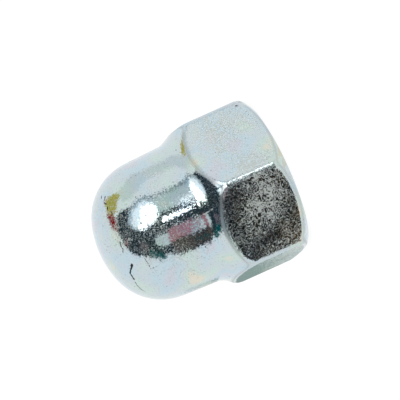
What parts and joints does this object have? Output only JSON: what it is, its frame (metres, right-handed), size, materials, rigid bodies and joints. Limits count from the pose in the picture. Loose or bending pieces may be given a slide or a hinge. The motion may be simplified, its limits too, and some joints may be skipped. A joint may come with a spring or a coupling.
{
  "type": "domed cap nut",
  "caption": "Hexagon nut closed by a blunt dome over a blind metric thread, forged in one piece and zinc plated.",
  "frame": {"origin": "centre of the bearing face, on the thread's axis", "axes": "+Z along the thread's axis, from the bearing face up through the dome; +X square to one flat of the hexagon"},
  "size_m": [0.018, 0.0206, 0.0219],
  "materials": {
    "zinc_plated_steel": "bright zinc plating with a pale blue passivation, fine pitted grain"
  },
  "bodies": {
    "root": {"cap_nut": "zinc_plated_steel"}
  },
  "joints": []
}
